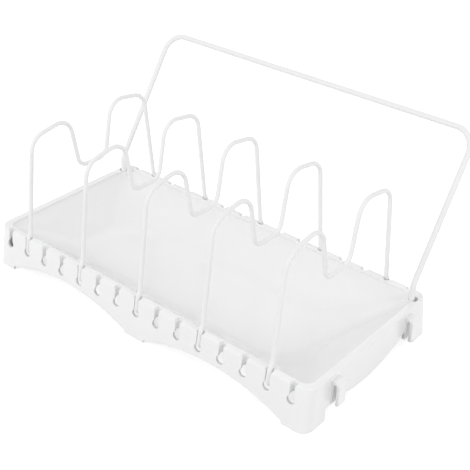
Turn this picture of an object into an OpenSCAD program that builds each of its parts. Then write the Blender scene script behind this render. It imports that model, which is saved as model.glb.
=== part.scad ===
// Pot lid rack: a moulded tray, five wire dividers and a leaning wire back frame.
// X runs along the rack, -Y is the front, Z is up. The origin is on the surface that the rack stands on,
// under the middle of the box around the whole rack. The modules are drawn about the middle of the tray.

/* [Tray outline] */
// Length over the rim
rim_len = 385; // [370:1:440]
// Depth over the rim
rim_dep = 181; // [170:1:220]
// Height of the rim above the surface
tray_h = 41.5; // [38:0.5:50]
// How far each end wall flares out from rim to floor
end_flare = 2; // [0:0.5:4]
// How far the front and rear walls flare out from rim to floor
side_flare = 6; // [2:0.5:8]
// Corner radius of the outline
corner_r = 11; // [8:0.5:16]
// Rounding of the rim's outer edge
edge_r = 1.2; // [0.6:0.1:1.8]

/* [Walls and rim] */
// Thickness of every moulded wall
wall = 2.2; // [1.6:0.1:2.6]
// Width of the flat rim
rim_w = 7; // [6.4:0.1:9]
// Height of the upright band between the rim and the bowl
band_h = 2.5; // [2:0.5:8]

/* [Bowl] */
// Clear height under the bowl
bowl_clear = 8; // [4:0.5:12]
// How far the bowl slopes in from each end
end_run = 46; // [35:1:60]
// How far the bowl slopes in from the front
front_run = 35; // [28:1:42]
// How far the bowl slopes in from the rear
rear_run = 47; // [40:1:56]
// How far the crease at the foot of each slope spreads on either side
crease_len = 11; // [6:0.5:16]
// Corner radius of the bowl's floor
floor_r = 38; // [20:1:40]
// Corner radius of the bowl's mouth
mouth_r = 8; // [5:0.5:12]

/* [Keyholes] */
// Number of keyholes along each side
key_count = 15; // [15:2:17]
// Distance from one keyhole to the next
key_pitch = 25; // [22:0.5:26]
// Diameter of the round hole
key_d = 8; // [7:0.1:9]
// Depth of the round hole's centre below the rim
key_drop = 15; // [13:0.5:17]
// How far the saddle in the rim reaches around each slot
saddle_w = 1; // [0.5:0.1:1.1]
// Depth of the saddle
saddle_h = 1.3; // [0.8:0.1:2]
// Width of the thick pad behind each keyhole
pad_w = 11.5; // [10.5:0.1:14]

/* [Feet] */
// Length of each corner foot along the front
corner_foot = 23.5; // [18:0.5:30]
// Length of the centre foot along the front
centre_foot = 24; // [16:1:34]
// How far the centre foot stays off the surface
centre_lift = 1.2; // [0:0.1:2]
// Height of the step where an arch meets a foot
foot_step = 3.6; // [2:0.2:5]
// Height of the arches between the feet
arch_h = 18.2; // [12:0.2:20]
// Depth of each corner foot along the end wall
post_dep = 20.8; // [16:0.5:26]
// Height of the end wall's lower edge beside the feet
end_gap = 12.5; // [8:0.5:16]
// Clear height under the belly of the end wall
belly_gap = 7.8; // [4:0.2:10]
// Radius of the belly of the end wall
belly_r = 139; // [120:1:200]
// How far the belly's lowest point lies towards the front
belly_shift = 9; // [0:0.5:12]

/* [Linking hooks] */
// Distance from the middle of the rack to each hook
hook_y = 57; // [50:0.5:60]
// Width of a hook
hook_w = 10; // [8:0.5:12]
// How far a hook stands out from the end wall at its top
hook_out = 8.5; // [7:0.1:10]
// Thickness of a hook's leg
hook_leg = 2.8; // [2:0.1:3.4]
// Width of the slot behind the leg
hook_slot = 3.4; // [2.4:0.1:4]
// Height of a hook's lower end
hook_low = 13.5; // [10:0.5:16]
// Height of a hook's top
hook_top = 36.5; // [33:0.5:37]

/* [Dividers] */
// Wire diameter of a divider
wire_d = 4.4; // [3:0.1:4.6]
// Gap between the wire and the sides of its slot
slot_gap = 0.2; // [0.15:0.05:0.4]
// Number of free keyholes to the left of the first divider
lead_count = 1; // [0:1:2]
// Number of free keyholes between two dividers
free_count = 2; // [1:1:2]
// How far the wire stands proud of the wall in its slot
foot_proud = 0.5; // [0.2:0.1:0.7]
// Length of the toe that turns in through the keyhole
toe_len = 8; // [7:0.5:10]
// Bend radius of the toe
toe_r = 4; // [3.5:0.1:5]
// How far the wire steps inward above the rim
step_in = 3; // [2:0.1:4]
// Height that the step takes
step_h = 6.5; // [5:0.5:9]
// Bend radius of the step
step_r = 8; // [5:0.5:10]
// Distance from the middle to the outer top corner
hump_out = 73.9; // [66:0.1:78]
// Height of the outer top corner
hump_out_z = 143.3; // [120:0.1:160]
// Bend radius of the outer top corner
hump_out_r = 18.3; // [10:0.1:20]
// Distance from the middle to the inner top corner
hump_in = 28; // [24:0.1:36]
// Height of the inner top corner
hump_in_z = 150.8; // [126:0.1:168]
// Bend radius of the inner top corner
hump_in_r = 17; // [8:0.1:17.5]
// Distance from the middle to the corner of the dip
dip_half = 17.5; // [16:0.1:22]
// Height of the dip
dip_z = 93.4; // [80:0.1:105]
// Bend radius in the dip
dip_r = 11.8; // [8:0.1:13]

/* [Back frame] */
// Wire diameter of the back frame
frame_d = 5.6; // [4:0.1:5.8]
// How far each leg stands in from the end of the rim
leg_in = 8; // [7.8:0.1:14]
// How far each leg stands in from the rear of the rim
leg_back = 16; // [15:0.5:22]
// Height of the knee above the rim
knee_up = 16; // [12:0.5:24]
// Bend radius of the knee
knee_r = 12; // [8:0.5:16]
// Lean of the frame from upright, in degrees
lean = 33; // [20:0.5:40]
// Height of the top bar's centre
bar_z = 179.3; // [150:0.1:200]
// Bend radius of the frame's corners
frame_r = 20; // [12:0.5:30]
// Depth of a socket below the rim
socket_deep = 15; // [10:0.5:17]
// Gap between the frame's wire and its socket
socket_gap = 0.25; // [0.2:0.05:0.4]
// How far a socket's top lies below the rim
rim_step = 0.4; // [0.2:0.1:1]
// Diameter of the wide mouth of a socket
socket_mouth = 9; // [8.4:0.1:9]
// Depth of the wide mouth
mouth_deep = 6; // [3:0.5:7]
// How far the mouth lies outward from the leg
mouth_out = 1; // [0.6:0.1:1]
// How far the mouth lies behind the leg
mouth_back = 1.4; // [0.6:0.1:1.6]
// Wall around a socket
socket_wall = 1.8; // [1.6:0.1:2]

/* [Hidden] */
eps = 0.01;
lap = 0.2;
thin = 0.04;
tray_white = "#F4F4F2";
wire_white = "#FAFAF8";

// Half depth of the tray's outer face at height z
function face_y(z) = rim_dep / 2 + side_flare * (tray_h - z) / tray_h;
// Half length of the tray's outer face at height z
function face_x(z) = rim_len / 2 + end_flare * (tray_h - z) / tray_h;

corner_steps = 8;
crease_steps = 6;
mouth_x = rim_len / 2 - rim_w;
mouth_y = rim_dep / 2 - rim_w;
mouth_z = tray_h - band_h;
bowl_deep = mouth_z - bowl_clear - wall;
crease = crease_len / end_run;
key_z = tray_h - key_drop;
slot_w = wire_d + 2 * slot_gap;
pad_in = rim_dep / 2 - rim_w + wall / 2;
slot_y = rim_dep / 2 - wire_d / 2;
key_x0 = -(key_count - 1) / 2 * key_pitch;
foot_x = rim_len / 2 - corner_foot;
arch_half = (foot_x - centre_foot / 2) / 2;
arch_x = centre_foot / 2 + arch_half;
arch_rise = arch_h - foot_step;
arch_r = (arch_half * arch_half + arch_rise * arch_rise) / (2 * arch_rise);
post_y = rim_dep / 2 - post_dep;
edge_x = rim_len / 2 - rim_w;
frame_x = rim_len / 2 - leg_in;
frame_y = rim_dep / 2 - leg_back;

function unit(v) = v / norm(v);
// The angle that a wire turns through at point i
function turn(p, i) = acos(unit(p[i] - p[i - 1]) * unit(p[i + 1] - p[i]));
// Length that a bend of radius r takes from each of its two runs
function bite(p, r, i) = (i == 0 || i == len(p) - 1) ? 0 : r[i] * tan(turn(p, i) / 2);

// A wire bent at each of its points, with straight runs between and round tips.
// Each run laps a little way into its bends, which are a hair thinner, so that they join cleanly.
module bent_wire(p, r, d) {
    last = len(p) - 1;
    for (i = [0 : last - 1]) {
        dir = unit(p[i + 1] - p[i]);
        a = p[i] + dir * (bite(p, r, i) - (i == 0 ? 0 : lap));
        b = p[i + 1] - dir * (bite(p, r, i + 1) - (i == last - 1 ? 0 : lap));
        translate(a)
            rotate([0, acos(dir.z), atan2(dir.y, dir.x)]) {
                cylinder(h = norm(b - a), d = d, $fn = 20);
                if (i == 0) sphere(d = d - thin, $fn = 20);
                if (i == last - 1) translate([0, 0, norm(b - a)]) sphere(d = d - thin, $fn = 20);
            }
    }
    for (i = [1 : last - 1]) {
        ahead = unit(p[i] - p[i - 1]);
        leave = unit(p[i + 1] - p[i]);
        x = -unit(leave - ahead * (ahead * leave));
        z = cross(x, ahead);
        c = p[i] - ahead * bite(p, r, i) - x * r[i];
        multmatrix([
            [x.x, ahead.x, z.x, c.x],
            [x.y, ahead.y, z.y, c.y],
            [x.z, ahead.z, z.z, c.z],
            [0, 0, 0, 1]
        ])
            rotate_extrude(angle = turn(p, i), $fn = 72)
                translate([r[i], 0])
                    circle(d = d - thin, $fn = 20);
    }
}

// A rounded rectangle of points at height z, counter-clockwise seen from above
function ring(half_x, half_y, r, z, shift = 0) = [
    for (q = [0 : 3], a = [0 : 90 / corner_steps : 90])
        let (sx = (q == 0 || q == 3) ? 1 : -1, sy = q < 2 ? 1 : -1)
        [sx * (half_x - r) + r * cos(q * 90 + a), shift + sy * (half_y - r) + r * sin(q * 90 + a), z]
];

// A closed skin through the rings, from a cap that faces down to a cap that faces up
module skin(rings) {
    n = len(rings[0]);
    m = len(rings);
    polyhedron(
        points = [for (g = rings) each g],
        faces = concat(
            [[for (i = [0 : n - 1]) i]],
            [for (k = [0 : m - 2], i = [0 : n - 1])
                [k * n + i, (k + 1) * n + i, (k + 1) * n + (i + 1) % n, k * n + (i + 1) % n]],
            [[for (i = [n - 1 : -1 : 0]) (m - 1) * n + i]]
        ),
        convexity = 6
    );
}

// A ring of the drafted outer wall, set in by some thickness
function wall_ring(in, z) = ring(face_x(z) - in, face_y(z) - in, corner_r - in, z);

// A ring of the bowl: run is the share of each side's slope, out is the distance outside its surface.
// Its corners never take more than half its depth, so the ring can't cross itself.
function bowl_ring(run, z, out = 0) =
    let (
        half_x = mouth_x + out - run * end_run,
        half_y = mouth_y + out - run * (front_run + rear_run) / 2,
        r = min(mouth_r + out + run * (floor_r - mouth_r), half_y - 1)
    )
    ring(half_x, half_y, r, z, run * (front_run - rear_run) / 2);

// The soft crease from slope to floor, k from 0 on the slope to 1 on the floor
function crease_run(k) = 1 - crease * (1 - 2 * k);
function crease_z(k) = mouth_z - bowl_deep * (1 - crease * (1 - k) * (1 - k));
function crease_slope(k) = atan((1 - k) * bowl_deep / end_run);

// The outer form, drafted from the floor to the rim, with its rim edge rounded
module outer_form() {
    skin(concat(
        [wall_ring(0, 0)],
        [for (a = [0 : 30 : 90]) wall_ring(edge_r * (1 - cos(a)), tray_h - edge_r * (1 - sin(a)))]
    ));
}

// The hollow behind the outer wall and under the rim
module hollow() {
    skin([wall_ring(wall, -1), wall_ring(wall, tray_h - wall)]);
}

// The space in the bowl, open at the top, with the rim's inner edge rounded
module bowl_space() {
    skin(concat(
        [for (j = [0 : crease_steps]) let (k = 1 - j / crease_steps) bowl_ring(crease_run(k), crease_z(k))],
        [bowl_ring(0, mouth_z)],
        [for (a = [0 : 30 : 90]) bowl_ring(0, tray_h - edge_r * (1 - sin(a)), edge_r * (1 - cos(a)))],
        [bowl_ring(0, tray_h + 1, edge_r)]
    ));
}

// The bowl with its wall, which is measured square to the slope
module bowl_body() {
    a = crease_slope(0);
    skin(concat(
        [for (j = [0 : crease_steps]) let (k = 1 - j / crease_steps, b = crease_slope(k))
            bowl_ring(crease_run(k), crease_z(k) - wall * cos(b), wall * sin(b))],
        [bowl_ring(0, mouth_z - wall * (1 - sin(a)) / cos(a), wall), bowl_ring(0, tray_h - wall / 2, wall)]
    ));
}

// Places a shape drawn along the wall (x along the rack, y up) on the front and on the rear wall,
// and extrudes it from outside the wall inward to the depth y_in from the middle
module through_sides(y_in) {
    for (s = [-1, 1])
        translate([0, s > 0 ? face_y(0) + 1 : -y_in, 0])
            rotate([90, 0, 0])
                linear_extrude(height = face_y(0) + 1 - y_in)
                    children();
}

// A notch seen from above, with a half-round end inward and open to the outside of the rear wall
module notch(r) {
    translate([-r, slot_y]) square([2 * r, face_y(0) + 1 - slot_y]);
    translate([0, slot_y]) circle(r = r, $fn = 24);
}

module keyholes() {
    // round holes through wall and pad
    through_sides(pad_in - wall)
        for (i = [0 : key_count - 1])
            translate([key_x0 + i * key_pitch, key_z]) circle(d = key_d, $fn = 24);
    // slots from each hole up through the rim, with a shallow saddle around their tops
    for (i = [0 : key_count - 1], side = [0, 1])
        mirror([0, side, 0])
            translate([key_x0 + i * key_pitch, 0, 0]) {
                translate([0, 0, key_z]) linear_extrude(height = key_drop + 1) notch(slot_w / 2);
                translate([0, 0, tray_h - saddle_h])
                    linear_extrude(height = saddle_h + 1) notch(slot_w / 2 + saddle_w);
            }
}

// Thick pads behind the wall that the keyholes are cut in
module pads() {
    low = arch_h + wall;
    high = tray_h - wall / 2;
    for (i = [0 : key_count - 1], side = [0, 1])
        mirror([0, side, 0])
            translate([key_x0 + i * key_pitch - pad_w / 2, 0, 0])
                rotate([90, 0, 90])
                    linear_extrude(height = pad_w)
                        polygon([[pad_in, low], [face_y(low) - wall / 2, low],
                            [face_y(high) - wall / 2, high], [pad_in, high]]);
}

// Upright cylinders at the two sockets, moved outward and to the rear by the given steps
module sockets(d, low, high, out = 0, back = 0) {
    for (s = [-1, 1])
        translate([s * (frame_x + out), frame_y + back, low])
            cylinder(h = high - low, d = d, $fn = 32);
}

module socket_bosses() {
    boss_d = socket_mouth + 2 * socket_wall;
    sockets(boss_d, tray_h - socket_deep - wall, tray_h - rim_step, mouth_out, mouth_back);
}

// The snug holes that hold the back frame, and their wide mouths
module socket_holes() {
    sockets(frame_d + 2 * socket_gap, tray_h - socket_deep, tray_h + 1);
    sockets(socket_mouth, tray_h - mouth_deep, tray_h + 1, mouth_out, mouth_back);
}

// Shallow arches between the feet, cut through the front and rear walls
module arches() {
    through_sides(pad_in - wall) {
        for (m = [-1, 1]) {
            intersection() {
                translate([m * arch_x, arch_h - arch_r]) circle(r = arch_r, $fn = 180);
                translate([m * arch_x - arch_half, -1]) square([2 * arch_half, arch_h + 2]);
            }
            translate([m * arch_x - arch_half, -1]) square([2 * arch_half, foot_step + 1]);
        }
        translate([-centre_foot / 2 - 1, -1]) square([centre_foot + 2, centre_lift + 1]);
    }
}

// Lower edge of the end walls: feet at the corners and a belly between them
module end_edges() {
    for (s = [-1, 1])
        translate([s > 0 ? edge_x : -face_x(0) - 1, 0, 0])
            rotate([90, 0, 90])
                linear_extrude(height = face_x(0) + 1 - edge_x) {
                    for (m = [-1, 1])
                        translate([m > 0 ? hook_y : -post_y, -1]) square([post_y - hook_y, end_gap + 1]);
                    difference() {
                        translate([-hook_y, -1]) square([2 * hook_y, tray_h / 2 + 1]);
                        translate([-belly_shift, belly_gap + belly_r]) circle(r = belly_r, $fn = 180);
                    }
                }
}

// Open hooks on the right end wall, for linking a second rack
module hook_shape() {
    root = face_x(hook_top) - wall / 2;
    out = rim_len / 2 + hook_out;
    top_r = (hook_slot + 2 * hook_leg) / 2;
    difference() {
        union() {
            translate([root, hook_low]) square([out - root, hook_top - hook_low - top_r]);
            translate([root, hook_top - top_r - eps]) square([out - top_r - root, top_r]);
            translate([out - top_r, hook_top - top_r]) circle(r = top_r, $fn = 48);
        }
        translate([out - hook_leg - hook_slot, hook_low - 1])
            square([hook_slot, hook_top - hook_leg - hook_slot / 2 - hook_low + 1]);
        translate([out - hook_leg - hook_slot / 2, hook_top - hook_leg - hook_slot / 2])
            circle(d = hook_slot, $fn = 48);
    }
}

module hooks() {
    for (s = [-1, 1])
        translate([0, s * hook_y + hook_w / 2, 0])
            rotate([90, 0, 0])
                linear_extrude(height = hook_w) hook_shape();
}

module tray() {
    color(tray_white)
        difference() {
            union() {
                difference() {
                    outer_form();
                    end_edges();
                }
                hooks();
            }
            difference() {
                hollow();
                bowl_body();
                pads();
                socket_bosses();
            }
            difference() {
                bowl_space();
                socket_bosses();
            }
            keyholes();
            arches();
            socket_holes();
        }
}

foot_c = wire_d / 2 - foot_proud;
toe_y = face_y(key_z) - foot_c;
rim_y = face_y(tray_h) - foot_c;
half_points = [
    [0, dip_half, dip_z],
    [0, hump_in, hump_in_z],
    [0, hump_out, hump_out_z],
    [0, rim_y - step_in, tray_h + step_h - 0.5],
    [0, rim_y, tray_h - 0.5],
    [0, toe_y, key_z],
    [0, toe_y - toe_len, key_z]
];
half_bends = [dip_r, hump_in_r, hump_out_r, step_r, step_r, toe_r, 0];
divider_points = concat([for (i = [6 : -1 : 0]) [0, -half_points[i].y, half_points[i].z]], half_points);
divider_bends = concat([for (i = [6 : -1 : 0]) half_bends[i]], half_bends);

module divider(n) {
    color(wire_white)
        translate([key_x0 + (lead_count + n * (free_count + 1)) * key_pitch, 0, 0])
            bent_wire(divider_points, divider_bends, wire_d);
}

knee_z = tray_h + knee_up;
bar_y = frame_y + (bar_z - knee_z) * tan(lean);
side_points = [
    [frame_x, frame_y, tray_h - socket_deep + frame_d / 2 + socket_gap],
    [frame_x, frame_y, knee_z],
    [frame_x, bar_y, bar_z]
];

module back_frame() {
    left = [for (q = side_points) [-q.x, q.y, q.z]];
    right = [for (i = [2 : -1 : 0]) side_points[i]];
    color(wire_white)
        bent_wire(concat(left, right), [0, knee_r, frame_r, frame_r, knee_r, 0], frame_d);
}

// The middle of the whole rack's box, seen from above, goes to the origin
mid_x = (rim_len / 2 + hook_out - face_x(0)) / 2;
mid_y = (bar_y + frame_d / 2 - face_y(0)) / 2;

module placed() {
    translate([-mid_x, -mid_y, 0]) children();
}

placed() tray();
placed() divider(0);  // divider_1
placed() divider(1);  // divider_2
placed() divider(2);  // divider_3
placed() divider(3);  // divider_4
placed() divider(4);  // divider_5
placed() back_frame();
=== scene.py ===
# %% [markdown]
# # A pot lid rack in white plastic and coated wire
#
# The rack is a moulded tray with keyholes along both sides. Five M-shaped wires clip into the keyholes
# and hold lids apart, and one thicker wire leans back behind them. The shapes come ready from the CAD
# model. This lesson gives them smooth surfaces, materials, light and a camera.

import math

import bmesh
import bpy
from mathutils import Matrix, Vector


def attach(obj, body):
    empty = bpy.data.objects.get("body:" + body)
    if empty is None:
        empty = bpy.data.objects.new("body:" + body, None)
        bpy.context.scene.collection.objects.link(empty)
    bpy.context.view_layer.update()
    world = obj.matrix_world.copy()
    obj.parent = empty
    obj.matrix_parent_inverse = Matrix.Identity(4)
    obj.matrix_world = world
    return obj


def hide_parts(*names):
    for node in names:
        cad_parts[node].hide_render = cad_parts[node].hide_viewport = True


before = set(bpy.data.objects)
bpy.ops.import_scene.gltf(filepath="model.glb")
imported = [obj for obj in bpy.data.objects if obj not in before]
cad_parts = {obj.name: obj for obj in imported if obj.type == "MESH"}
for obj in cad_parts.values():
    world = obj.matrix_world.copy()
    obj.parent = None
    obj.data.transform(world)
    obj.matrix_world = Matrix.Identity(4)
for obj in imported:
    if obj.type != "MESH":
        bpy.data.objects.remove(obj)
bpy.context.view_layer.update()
print("nodes:", ", ".join(sorted(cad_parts)))

# %% [markdown]
# ## Helpers
#
# Colours are written the way a colour picker shows them, as sRGB hex. Blender calculates with linear
# light, so one function turns the first into the second. A second function adds a shader node, sets its
# values and links its inputs in one call, which keeps each material readable from top to bottom. Blender
# measures in metres, so sizes are written in millimetres times MM.

# %% Colour and node helpers
MM = 0.001


def linear(code):
    """An sRGB hex colour such as F2F2F0 as linear red, green, blue and alpha."""
    parts = [int(code[i:i + 2], 16) / 255 for i in (0, 2, 4)]
    return [p / 12.92 if p <= 0.04045 else ((p + 0.055) / 1.055) ** 2.4 for p in parts] + [1.0]


def add(tree, kind, inputs=None, **settings):
    """Adds a node. A value in inputs that is a socket is linked, and any other is set."""
    node = tree.nodes.new(kind)
    for name, value in settings.items():
        setattr(node, name, value)
    for name, value in (inputs or {}).items():
        if isinstance(value, bpy.types.NodeSocket):
            tree.links.new(value, node.inputs[name])
        else:
            node.inputs[name].default_value = value
    return node


def new_material(name):
    material = bpy.data.materials.new(name)
    material.use_nodes = True
    material.node_tree.nodes.clear()
    return material, material.node_tree


print("half grey, 808080, in linear light:", round(linear("808080")[0], 3))

# %% [markdown]
# ## Glossy moulded plastic
#
# The tray is injection-moulded ABS from a polished mould, and ABS has an IOR near 1.53. One white with a
# low roughness would look like glass. A real moulding has a glossy skin too, but the plastic shrinks as
# it cools, so its flat walls wander by a few hundredths of a millimetre every 30 mm or so, and that makes
# wide soft reflections bend a little. A finer ripple stands for the faint dulling that handling leaves.
# It is 2.5 mm wide, coarser than real marks, because finer ones wouldn't show. The Bevel node rounds the
# edges of the cuts, as a mould does. White ABS isn't quite opaque: light goes about a millimetre into it,
# so a narrow slot is a softer grey inside.

# %% The tray's material
SHRINK_WIDTH, SHRINK_DEPTH = 30 * MM, 0.04 * MM
RIPPLE_WIDTH, RIPPLE_DEPTH = 2.5 * MM, 0.001 * MM
CUT_ROUNDING = 0.4 * MM
LIGHT_REACH = 1.2 * MM


def moulded_abs():
    material, tree = new_material("moulded ABS, gloss white")
    place = add(tree, "ShaderNodeTexCoord").outputs["Object"]
    shrink = add(tree, "ShaderNodeTexNoise", {"Vector": place, "Scale": 1 / SHRINK_WIDTH, "Detail": 1.0})
    ripple = add(tree, "ShaderNodeTexNoise", {"Vector": place, "Scale": 1 / RIPPLE_WIDTH, "Detail": 3.0})
    gloss = add(tree, "ShaderNodeMapRange", {
        "Value": ripple.outputs["Fac"], "From Min": 0.3, "From Max": 0.7, "To Min": 0.16, "To Max": 0.24})
    tone = add(tree, "ShaderNodeMix", {
        "Factor": shrink.outputs["Fac"], "A": linear("F4F4F4"), "B": linear("F6F6F6")}, data_type="RGBA")
    edge = add(tree, "ShaderNodeBevel", {"Radius": CUT_ROUNDING}, samples=6)
    wave = add(tree, "ShaderNodeBump", {
        "Strength": 1.0, "Distance": SHRINK_DEPTH, "Height": shrink.outputs["Fac"],
        "Normal": edge.outputs["Normal"]})
    fine = add(tree, "ShaderNodeBump", {
        "Strength": 1.0, "Distance": RIPPLE_DEPTH, "Height": ripple.outputs["Fac"],
        "Normal": wave.outputs["Normal"]})
    plastic = add(tree, "ShaderNodeBsdfPrincipled", {
        "Base Color": tone.outputs["Result"], "Roughness": gloss.outputs["Result"], "IOR": 1.53,
        "Subsurface Weight": 0.35, "Subsurface Radius": (1.0, 1.0, 1.0), "Subsurface Scale": LIGHT_REACH,
        "Normal": fine.outputs["Normal"]})
    add(tree, "ShaderNodeOutputMaterial", {"Surface": plastic.outputs["BSDF"]})
    return material


plastic = moulded_abs()
print("plastic:", plastic.name)

# %% [markdown]
# ## Coated wire
#
# The wires are bent from steel and then dipped in white polyethylene, which has an IOR of 1.51 and melts
# to an even skin a few tenths of a millimetre thick. The coating could be a shell round a steel core, but
# no steel shows, so it is only a finish here. It is softer and duller than the tray. As it sets it keeps
# a slight orange peel, about a millimetre across, and its white drifts a little every few centimetres.

# %% The wires' material
PEEL_WIDTH, PEEL_DEPTH = 1.2 * MM, 0.012 * MM
DRIFT_WIDTH = 40 * MM


def coated_wire():
    material, tree = new_material("polyethylene coating, white")
    place = add(tree, "ShaderNodeTexCoord").outputs["Object"]
    peel = add(tree, "ShaderNodeTexNoise", {"Vector": place, "Scale": 1 / PEEL_WIDTH, "Detail": 2.0})
    drift = add(tree, "ShaderNodeTexNoise", {"Vector": place, "Scale": 1 / DRIFT_WIDTH, "Detail": 1.0})
    tone = add(tree, "ShaderNodeMix", {
        "Factor": drift.outputs["Fac"], "A": linear("F2F2F2"), "B": linear("F5F5F5")}, data_type="RGBA")
    gloss = add(tree, "ShaderNodeMapRange", {
        "Value": peel.outputs["Fac"], "From Min": 0.3, "From Max": 0.7, "To Min": 0.42, "To Max": 0.52})
    bump = add(tree, "ShaderNodeBump", {
        "Strength": 1.0, "Distance": PEEL_DEPTH, "Height": peel.outputs["Fac"]})
    coat = add(tree, "ShaderNodeBsdfPrincipled", {
        "Base Color": tone.outputs["Result"], "Roughness": gloss.outputs["Result"], "IOR": 1.51,
        "Specular IOR Level": 0.35, "Normal": bump.outputs["Normal"]})
    add(tree, "ShaderNodeOutputMaterial", {"Surface": coat.outputs["BSDF"]})
    return material


coating = coated_wire()
print("coating:", coating.name)

# %% [markdown]
# ## Smooth surfaces from CAD triangles
#
# A CAD mesh arrives as flat triangles, and a curved wall made of them looks cut from card. More triangles
# would help, but smooth shading does it without any: light runs evenly over the faces, and an edge stays
# sharp only where its two faces meet at more than 25 degrees. The Weighted Normal modifier then lets the
# large faces decide how light runs over the small ones beside them.

# %% Smooth shading
SHARP_ANGLE = math.radians(25)


def shade_smoothly(piece):
    shape = bmesh.new()
    shape.from_mesh(piece.data)
    for face in shape.faces:
        face.smooth = True
    for edge in shape.edges:
        edge.smooth = edge.calc_face_angle(0.0) < SHARP_ANGLE
    shape.to_mesh(piece.data)
    shape.free()
    weighted = piece.modifiers.new("even shading", "WEIGHTED_NORMAL")
    weighted.keep_sharp = True


print("edges stay sharp over", round(math.degrees(SHARP_ANGLE)), "degrees")

# %% [markdown]
# ## Thin wall at the keyholes
#
# In the CAD model each keyhole has a thick pad behind it, from the rim down past its round hole. On the
# rack the wall is thin at the hole, and daylight shows through it. One wedge behind each hole takes the
# pad away there, up to the wall's inner face, and leaves it behind the slot. A wedge is the convex hull of
# an outline and its twin, which is quicker than building its six sides, and a Boolean keeps the tray closed.

# %% Wedges behind the round holes
# The origin is under the middle of the whole rack's box, and the tray's own middle is a little off it.
TRAY_MIDDLE = Vector((-3.25 * MM, -29.95 * MM, 0.0))
KEYHOLES, PITCH = 15, 25 * MM
WEDGE_WIDTH, WEDGE_LOW, WEDGE_HIGH, WEDGE_INNER = 12.5 * MM, 19 * MM, 31 * MM, 83 * MM
RIM_HEIGHT, RIM_HALF_DEPTH = 41.5 * MM, 90.5 * MM
WALL = 2.2 * MM
FLARE = 6 * MM / RIM_HEIGHT


def new_piece(name, mesh):
    piece = bpy.data.objects.new(name, mesh)
    bpy.context.scene.collection.objects.link(piece)
    return piece


def inner_face(height):
    """Distance from the tray's middle to the inner face of its front or rear wall."""
    return RIM_HALF_DEPTH + FLARE * (RIM_HEIGHT - height) - WALL


def hole_wedges():
    outline = [(WEDGE_INNER, WEDGE_LOW), (inner_face(WEDGE_LOW), WEDGE_LOW),
               (inner_face(WEDGE_HIGH), WEDGE_HIGH), (WEDGE_INNER, WEDGE_HIGH)]
    shape = bmesh.new()
    for key in range(KEYHOLES):
        middle = TRAY_MIDDLE.x + (key - (KEYHOLES - 1) / 2) * PITCH
        for side in (-1, 1):
            corners = [shape.verts.new((middle + end * WEDGE_WIDTH / 2, TRAY_MIDDLE.y + side * y, z))
                       for end in (-1, 1) for y, z in outline]
            bmesh.ops.convex_hull(shape, input=corners)
    bmesh.ops.recalc_face_normals(shape, faces=shape.faces)
    print("wedge faces:", len(shape.faces))
    mesh = bpy.data.meshes.new("wedges")
    shape.to_mesh(mesh)
    shape.free()
    return new_piece("wedges", mesh)


wedges = hole_wedges()

# %% [markdown]
# ## The seven pieces
#
# The tray is one moulding, so it is one piece, and each wire is a piece of its own. Each is a copy of one
# node of the CAD model, with its doubled points merged so that faces share their edges, and it stays
# where the node is. The nodes could be shown as they are, but loose triangles can't be shaded smoothly.
# Nothing on the rack moves, so all the pieces ride on its one body.

# %% A merged copy of a node
SAME_POINT = 0.002 * MM


def cut_away(piece, cutter):
    """Takes the cutter's space out of a piece, and deletes the cutter."""
    cut = piece.modifiers.new("cut", "BOOLEAN")
    cut.operation = "DIFFERENCE"
    cut.object = cutter
    evaluated = piece.evaluated_get(bpy.context.evaluated_depsgraph_get())
    shaped = bpy.data.meshes.new_from_object(evaluated)
    piece.modifiers.clear()
    piece.data = shaped
    bpy.data.objects.remove(cutter)


def merged_copy(node, name, material, cutter=None):
    mesh = bpy.data.meshes.new(name)
    shape = bmesh.new()
    shape.from_mesh(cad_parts[node].data)
    bmesh.ops.remove_doubles(shape, verts=shape.verts, dist=SAME_POINT)
    shape.to_mesh(mesh)
    shape.free()
    piece = new_piece(name, mesh)
    if cutter:
        cut_away(piece, cutter)
    shade_smoothly(piece)
    piece.data.materials.append(material)
    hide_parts(node)
    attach(piece, "root")
    print(name, "faces:", len(piece.data.polygons))


# %% The tray and the wires
DIVIDERS = 5

merged_copy("tray", "tray_moulding", plastic, wedges)
for number in range(1, DIVIDERS + 1):
    merged_copy(f"divider_{number}", f"divider_wire_{number}", coating)
merged_copy("back_frame", "back_frame_wire", coating)

# %% [markdown]
# ## A white room
#
# White goods are shown on white, so the floor and the world have to come out as plain white while the
# object keeps its own soft greys. More light would do the first and spoil the second, so Light Path does
# it: a ray from the camera, or one that a glossy or clear surface sends on, sees a white world, and every
# other ray gets the studio's softer light.

# %% World
ROOM_LIGHT = 0.725


def white_rays(tree):
    """1 for a ray that should see the white background, and 0 for light that falls on surfaces."""
    path = add(tree, "ShaderNodeLightPath").outputs
    seen = add(tree, "ShaderNodeMath", {0: path["Is Camera Ray"], 1: path["Is Transmission Ray"]},
               operation="MAXIMUM")
    either = add(tree, "ShaderNodeMath", {0: seen.outputs["Value"], 1: path["Is Glossy Ray"]},
                 operation="MAXIMUM")
    return either.outputs["Value"]


world = bpy.data.worlds.new("white studio")
bpy.context.scene.world = world
world.use_nodes = True
sky_tree = world.node_tree
sky_tree.nodes.clear()
sky_level = add(sky_tree, "ShaderNodeMapRange", {
    "Value": white_rays(sky_tree), "To Min": ROOM_LIGHT, "To Max": 1.0})
sky = add(sky_tree, "ShaderNodeBackground", {
    "Color": linear("FFFFFF"), "Strength": sky_level.outputs["Result"]})
add(sky_tree, "ShaderNodeOutputWorld", {"Surface": sky.outputs["Background"]})
print("room light:", ROOM_LIGHT)

# %% [markdown]
# ## The floor
#
# The floor is a sheet of matte pale paper. Plain paper would be grey under this light, and a white glow
# alone would hide the shadow, so it has both: it glows for the rays that should see white, and its paper
# still takes the object's shadow.

# %% Floor
FLOOR_GLOW = 0.68
FLOOR_HALF_WIDTH = 3.0

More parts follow.
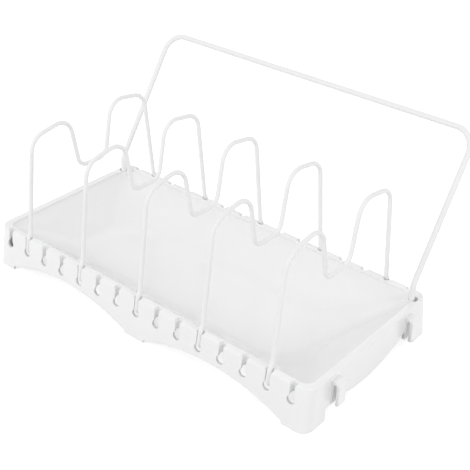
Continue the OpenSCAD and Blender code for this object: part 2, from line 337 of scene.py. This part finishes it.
floor_paper, floor_tree = new_material("matte pale paper")
matte = add(floor_tree, "ShaderNodeBsdfDiffuse", {"Color": linear("DDDDDD")})
glow_level = add(floor_tree, "ShaderNodeMath", {0: white_rays(floor_tree), 1: FLOOR_GLOW},
                 operation="MULTIPLY")
glow = add(floor_tree, "ShaderNodeEmission", {
    "Color": linear("FFFFFF"), "Strength": glow_level.outputs["Value"]})
both = add(floor_tree, "ShaderNodeAddShader", {0: matte.outputs["BSDF"], 1: glow.outputs["Emission"]})
add(floor_tree, "ShaderNodeOutputMaterial", {"Surface": both.outputs["Shader"]})

sheet = bmesh.new()
bmesh.ops.create_grid(sheet, x_segments=1, y_segments=1, size=FLOOR_HALF_WIDTH)
floor_mesh = bpy.data.meshes.new("floor")
sheet.to_mesh(floor_mesh)
sheet.free()
floor = new_piece("floor", floor_mesh)
floor.data.materials.append(floor_paper)
print("floor width in metres:", 2 * FLOOR_HALF_WIDTH)

# %% [markdown]
# ## Softboxes
#
# Three panels light the rack. One lamp would leave a wall dark, so two stand low, in front and on the
# right, a little over a quarter turn apart. Each lights the wall that faces it, so the two walls come out
# about equally bright, and the corner of the bowl that faces neither is among the darkest places. A weak
# one over the rear left adds a broad sheen in the bowl.

# %% Lights
AIM = Vector((0.0, 0.0, 0.05))


def softbox(name, position, size, watts):
    panel = bpy.data.lights.new(name, "AREA")
    panel.shape = "RECTANGLE"
    panel.size, panel.size_y = size
    panel.energy = watts
    lamp = bpy.data.objects.new(name, panel)
    lamp.location = position
    direction = AIM - Vector(position)
    lamp.rotation_euler = direction.to_track_quat("-Z", "Y").to_euler()
    bpy.context.scene.collection.objects.link(lamp)
    print(name, "distance in metres:", round(direction.length, 2))


softbox("front softbox", (-0.6, -1.64, 0.79), (0.9, 0.8), 8.3)
softbox("right softbox", (1.70, -0.1, 0.79), (0.9, 0.8), 6.2)
softbox("rear softbox", (-0.9, 1.1, 1.3), (1.2, 0.8), 2.0)

# %% [markdown]
# ## The camera
#
# The view is three-quarter from the front right and from above, with a slightly long lens, as in a
# product picture. The camera could be placed by hand, but its direction, its distance from the tray, a
# shift aside and up and a slight roll say it in numbers that can each be changed alone.

# %% Camera
AZIMUTH, ELEVATION, ROLL = 39.04, 31.55, 1.70
DISTANCE = 931.6 * MM
ASIDE, ABOVE = 30.9 * MM, 57.0 * MM
VIEW_ANGLE = 27.74
NEAREST = 0.01

azimuth, elevation, roll = (math.radians(angle) for angle in (AZIMUTH, ELEVATION, ROLL))
toward = Vector((math.sin(azimuth) * math.cos(elevation), -math.cos(azimuth) * math.cos(elevation),
                 math.sin(elevation)))
level_right = Vector((math.cos(azimuth), math.sin(azimuth), 0.0))
level_up = toward.cross(level_right)
right = math.cos(roll) * level_right + math.sin(roll) * level_up
up = toward.cross(right)
place = TRAY_MIDDLE + right * ASIDE + up * ABOVE + toward * DISTANCE

camera_data = bpy.data.cameras.new("camera")
camera_data.sensor_fit = "AUTO"
camera_data.angle = math.radians(VIEW_ANGLE)
camera_data.clip_start = NEAREST
camera = bpy.data.objects.new("camera", camera_data)
camera.matrix_world = Matrix.Translation(place) @ Matrix((right, up, toward)).transposed().to_4x4()
bpy.context.scene.collection.objects.link(camera)
bpy.context.scene.camera = camera
bpy.context.scene.view_settings.view_transform = "Standard"
print("camera place in metres:", [round(value, 3) for value in place])
